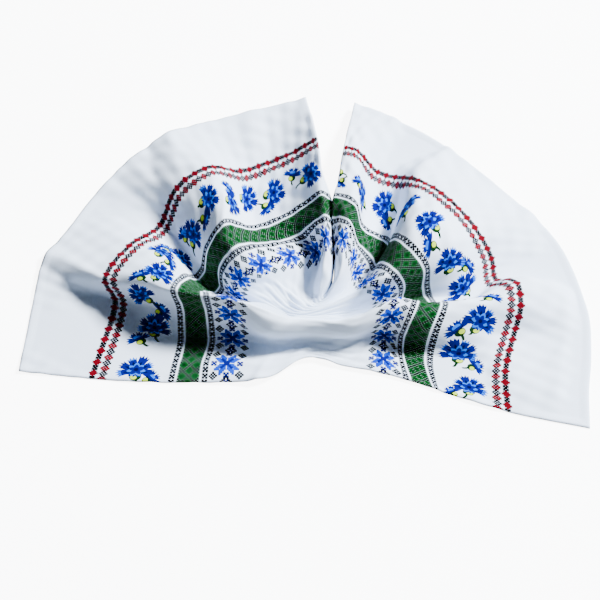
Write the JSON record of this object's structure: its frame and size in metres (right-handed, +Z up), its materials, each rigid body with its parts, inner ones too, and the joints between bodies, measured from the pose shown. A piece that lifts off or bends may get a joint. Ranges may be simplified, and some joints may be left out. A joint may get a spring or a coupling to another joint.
{
  "type": "tea towel",
  "caption": "Printed cotton tea towel, gathered at the middle of its far hem and laid down as two fans that meet along a seam behind a shallow bowl.",
  "frame": {"origin": "centre of the bounding box, on the surface that the cloth lies on", "axes": "+X along the near long hem, towards the right fan; +Y away from the viewer, towards the notch between the fans; +Z up"},
  "size_m": [0.584, 0.4102, 0.0628],
  "materials": {
    "cotton": "matt woven"
  },
  "bodies": {
    "root": {"towel": "cotton"}
  },
  "joints": []
}
